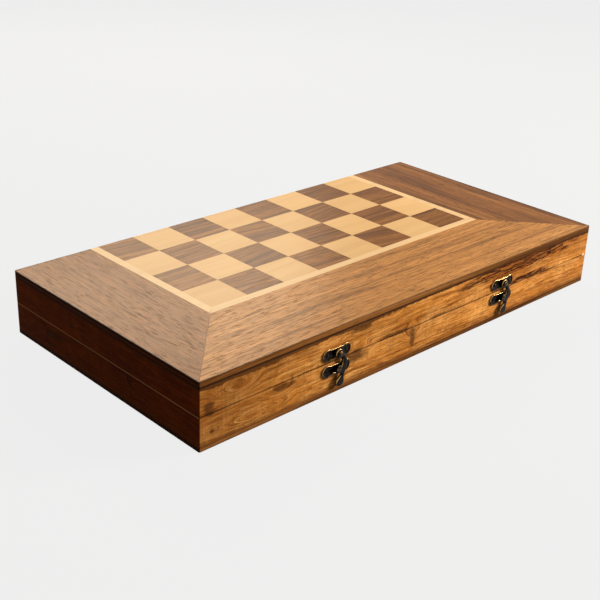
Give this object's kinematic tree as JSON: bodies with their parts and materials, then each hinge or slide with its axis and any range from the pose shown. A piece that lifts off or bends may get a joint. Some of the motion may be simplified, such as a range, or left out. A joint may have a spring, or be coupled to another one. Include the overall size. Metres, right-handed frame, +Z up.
{
  "type": "backgammon board",
  "caption": "Folding wooden backgammon and chess case with mitred veneer faces, half a chessboard on each outer face, brass hinges and swing hook latches.",
  "frame": {"origin": "middle of the flat underside of the closed case, on the surface that it rests on", "axes": "+X along the case's length with the latch side towards the viewer, +Y towards the hinge side, +Z up"},
  "size_m": [0.5, 0.2653, 0.06],
  "materials": {
    "walnut_border": "walnut border veneer, satin lacquer, grain along each strip",
    "walnut_square": "walnut square veneer, satin lacquer, grain along X",
    "maple_square": "maple square veneer, satin lacquer, grain along X",
    "maple_string": "maple stringing, satin lacquer",
    "stained_wall": "honey stained knotty wood, satin lacquer",
    "panel_core": "dark stained panel core, seen as the bands at the top and bottom edges",
    "field_veneer": "mid-brown inner field veneer, satin",
    "light_point": "maple point inlay, satin",
    "dark_point": "dark walnut point inlay, satin",
    "bronze": "cast latch metal, dark antique bronze with rubbed brassy edges",
    "hinge_brass": "brass butt hinge, satin",
    "light_checker": "turned maple playing piece, satin",
    "dark_checker": "turned walnut playing piece, satin",
    "die": "ivory coloured cast resin"
  },
  "bodies": {
    "lower_half": {"lower_panel_core": "panel_core", "lower_border_left": "walnut_border", "lower_border_front": "walnut_border", "lower_border_right": "walnut_border", "lower_stringing": "maple_string", "lower_walnut_squares": "walnut_square", "lower_maple_squares": "maple_square", "lower_field_ground": "field_veneer", "lower_light_points": "light_point", "lower_dark_points": "dark_point", "lower_front_wall": "stained_wall", "lower_back_wall": "stained_wall", "lower_left_wall": "stained_wall", "lower_right_wall": "stained_wall", "hinge_leaf_lower_left": "hinge_brass", "hinge_leaf_lower_right": "hinge_brass", "hinge_pin_left": "hinge_brass", "catch_plate_left": "bronze", "catch_stud_left": "bronze", "hinge_pin_right": "hinge_brass", "catch_plate_right": "bronze", "catch_stud_right": "bronze", "light_checkers": "light_checker", "dark_checkers": "dark_checker", "dice": "die"},
    "upper_half": {"upper_panel_core": "panel_core", "upper_border_left": "walnut_border", "upper_border_front": "walnut_border", "upper_border_right": "walnut_border", "upper_stringing": "maple_string", "upper_walnut_squares": "walnut_square", "upper_maple_squares": "maple_square", "upper_field_ground": "field_veneer", "upper_light_points": "light_point", "upper_dark_points": "dark_point", "upper_front_wall": "stained_wall", "upper_back_wall": "stained_wall", "upper_left_wall": "stained_wall", "upper_right_wall": "stained_wall", "hinge_leaf_upper_left": "hinge_brass", "hinge_leaf_upper_right": "hinge_brass", "latch_plate_left": "bronze", "latch_plate_right": "bronze", "latch_rivet_left": "bronze", "latch_rivet_right": "bronze"},
    "latch_hook_left": {"latch_hook_left": "bronze"},
    "latch_hook_right": {"latch_hook_right": "bronze"}
  },
  "joints": [
    {"name": "lid_hinge", "type": "hinge", "parent": "lower_half", "child": "upper_half", "pos_m": [0, 0.129, 0.03], "axis": [-1, 0, 0], "range_deg": [0, 180]},
    {"name": "hook_left_swing", "type": "hinge", "parent": "upper_half", "child": "latch_hook_left", "pos_m": [-0.109, -0.128, 0.0374], "axis": [0, -1, 0], "range_deg": [0, 110]},
    {"name": "hook_right_swing", "type": "hinge", "parent": "upper_half", "child": "latch_hook_right", "pos_m": [0.109, -0.128, 0.0374], "axis": [0, -1, 0], "range_deg": [0, 110]}
  ]
}
